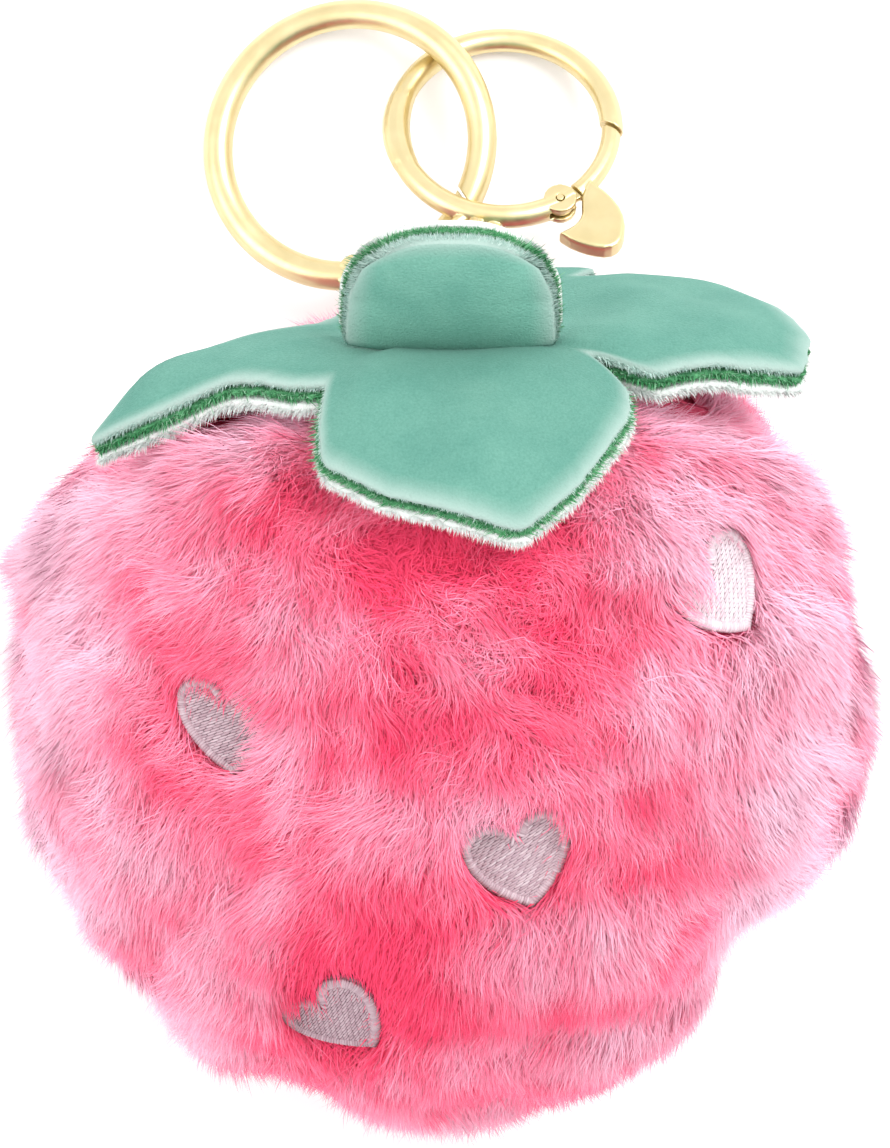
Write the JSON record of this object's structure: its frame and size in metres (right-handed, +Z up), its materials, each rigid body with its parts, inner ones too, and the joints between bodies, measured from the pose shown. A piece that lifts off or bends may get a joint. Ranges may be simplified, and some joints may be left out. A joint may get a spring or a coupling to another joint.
{
  "type": "plush keychain",
  "caption": "Furry round strawberry keychain with embroidered hearts, layered velvet leaves, a hanging loop, a round lever clasp and a spring-gate key ring.",
  "frame": {"origin": "on the table, under the middle of the whole object's box", "axes": "the keychain lies on its back: +Z up out of its front, +Y from the tip towards the calyx and the rings, +X to the right of its front"},
  "size_m": [0.0928, 0.1276, 0.0806],
  "materials": {
    "fur": "long soft pile",
    "stuffing": "loose fibre",
    "satin_stitch": "glossy thread",
    "velvet": "short dense pile",
    "green_backing": "rough cut edge",
    "white_pile": "short pile",
    "cord": "twisted satin cord",
    "thread": "sewing thread",
    "pale_gold": "polished pale gold plating",
    "spring_steel": "bare wire"
  },
  "bodies": {
    "root": {"fur_panel_front_right": "fur", "fur_panel_front_left": "fur", "fur_panel_back_right": "fur", "fur_panel_back_left": "fur", "stuffing": "stuffing", "heart_left": "satin_stitch", "heart_right": "satin_stitch", "heart_centre": "satin_stitch", "heart_lower": "satin_stitch", "gather_thread": "thread", "calyx_underside": "white_pile", "calyx_backing": "green_backing", "calyx_velvet": "velvet"},
    "tab": {"tab_underside": "white_pile", "tab_backing": "green_backing", "tab_velvet": "velvet"},
    "hanging_loop": {"hanging_loop": "cord"},
    "jump_ring": {"jump_ring": "pale_gold"},
    "clasp": {"clasp_body": "pale_gold", "clasp_lever_pin": "pale_gold", "clasp_lever_spring": "spring_steel"},
    "clasp_lever": {"clasp_lever": "pale_gold"},
    "key_ring": {"key_ring": "pale_gold", "ring_gate_pin": "pale_gold", "ring_gate_spring": "spring_steel"},
    "ring_gate": {"ring_gate": "pale_gold"}
  },
  "joints": [
    {"name": "tab_flap", "type": "hinge", "parent": "root", "child": "tab", "pos_m": [0.0006, 0.0213, 0.0598], "axis": [1, 0, 0], "range_deg": [-15, 22], "stiffness_Nm_per_rad": 0.002},
    {"name": "loop_lift", "type": "hinge", "parent": "root", "child": "hanging_loop", "pos_m": [0, 0.01918, 0.04817], "axis": [1, 0, 0], "range_deg": [0, 30]},
    {"name": "jump_ring_swing", "type": "hinge", "parent": "hanging_loop", "child": "jump_ring", "pos_m": [0.00331, 0.03273, 0.01976], "axis": [1, 0, 0], "range_deg": [0, 35]},
    {"name": "clasp_turn", "type": "hinge", "parent": "jump_ring", "child": "clasp", "pos_m": [0.00331, 0.0357, 0.01568], "axis": [0, 0.515, 0.8572], "range_deg": [-20, 12]},
    {"name": "clasp_lever_press", "type": "hinge", "parent": "clasp", "child": "clasp_lever", "pos_m": [0.01321, 0.0395, 0.0134], "axis": [0, 0.515, 0.8572], "range_deg": [0, 22], "stiffness_Nm_per_rad": 0.01, "springref_deg": -34.38},
    {"name": "key_ring_lift", "type": "hinge", "parent": "clasp", "child": "key_ring", "pos_m": [0.001, 0.0392, 0.01358], "axis": [0.885, -0.3991, 0.2398], "range_deg": [0, 75]},
    {"name": "ring_gate_open", "type": "hinge", "parent": "key_ring", "child": "ring_gate", "pos_m": [-0.00998, 0.0315, 0.00919], "axis": [-0.1736, 0.171, 0.9698], "range_deg": [0, 14], "stiffness_Nm_per_rad": 0.01, "springref_deg": -34.38}
  ]
}
